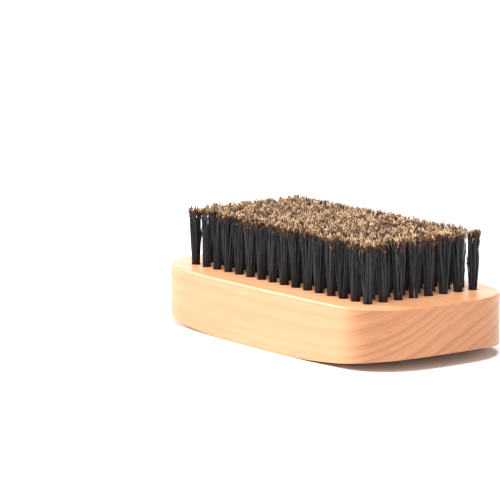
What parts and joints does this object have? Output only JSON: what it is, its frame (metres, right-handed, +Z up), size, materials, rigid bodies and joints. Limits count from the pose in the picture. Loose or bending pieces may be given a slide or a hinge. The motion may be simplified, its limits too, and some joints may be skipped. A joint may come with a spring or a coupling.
{
  "type": "palm beard brush",
  "caption": "Handle-less oblong beard brush: a bowed beech block with a curved back, filled with dense crosswise rows of dark boar bristle tufts with pale tips.",
  "frame": {"origin": "centre of the flat on the block's curved back, on which the brush rests with its bristles up", "axes": "+X along the block's length, +Y across it, +Z up towards the bristle tips"},
  "size_m": [0.121, 0.063, 0.0385],
  "materials": {
    "beech": "clear satin lacquer on sanded beech",
    "boar_bristle": "black natural bristle with brown to blond split tips",
    "anchor_wire": "bare flat wire, out of sight inside the block"
  },
  "bodies": {
    "root": {"wood_block": "beech", "bristle_row_01": "boar_bristle", "bristle_row_02": "boar_bristle", "bristle_row_03": "boar_bristle", "bristle_row_04": "boar_bristle", "bristle_row_05": "boar_bristle", "bristle_row_06": "boar_bristle", "bristle_row_07": "boar_bristle", "bristle_row_08": "boar_bristle", "bristle_row_09": "boar_bristle", "bristle_row_10": "boar_bristle", "bristle_row_11": "boar_bristle", "bristle_row_12": "boar_bristle", "bristle_row_13": "boar_bristle", "bristle_row_14": "boar_bristle", "bristle_row_15": "boar_bristle", "bristle_row_16": "boar_bristle"}
  },
  "joints": []
}
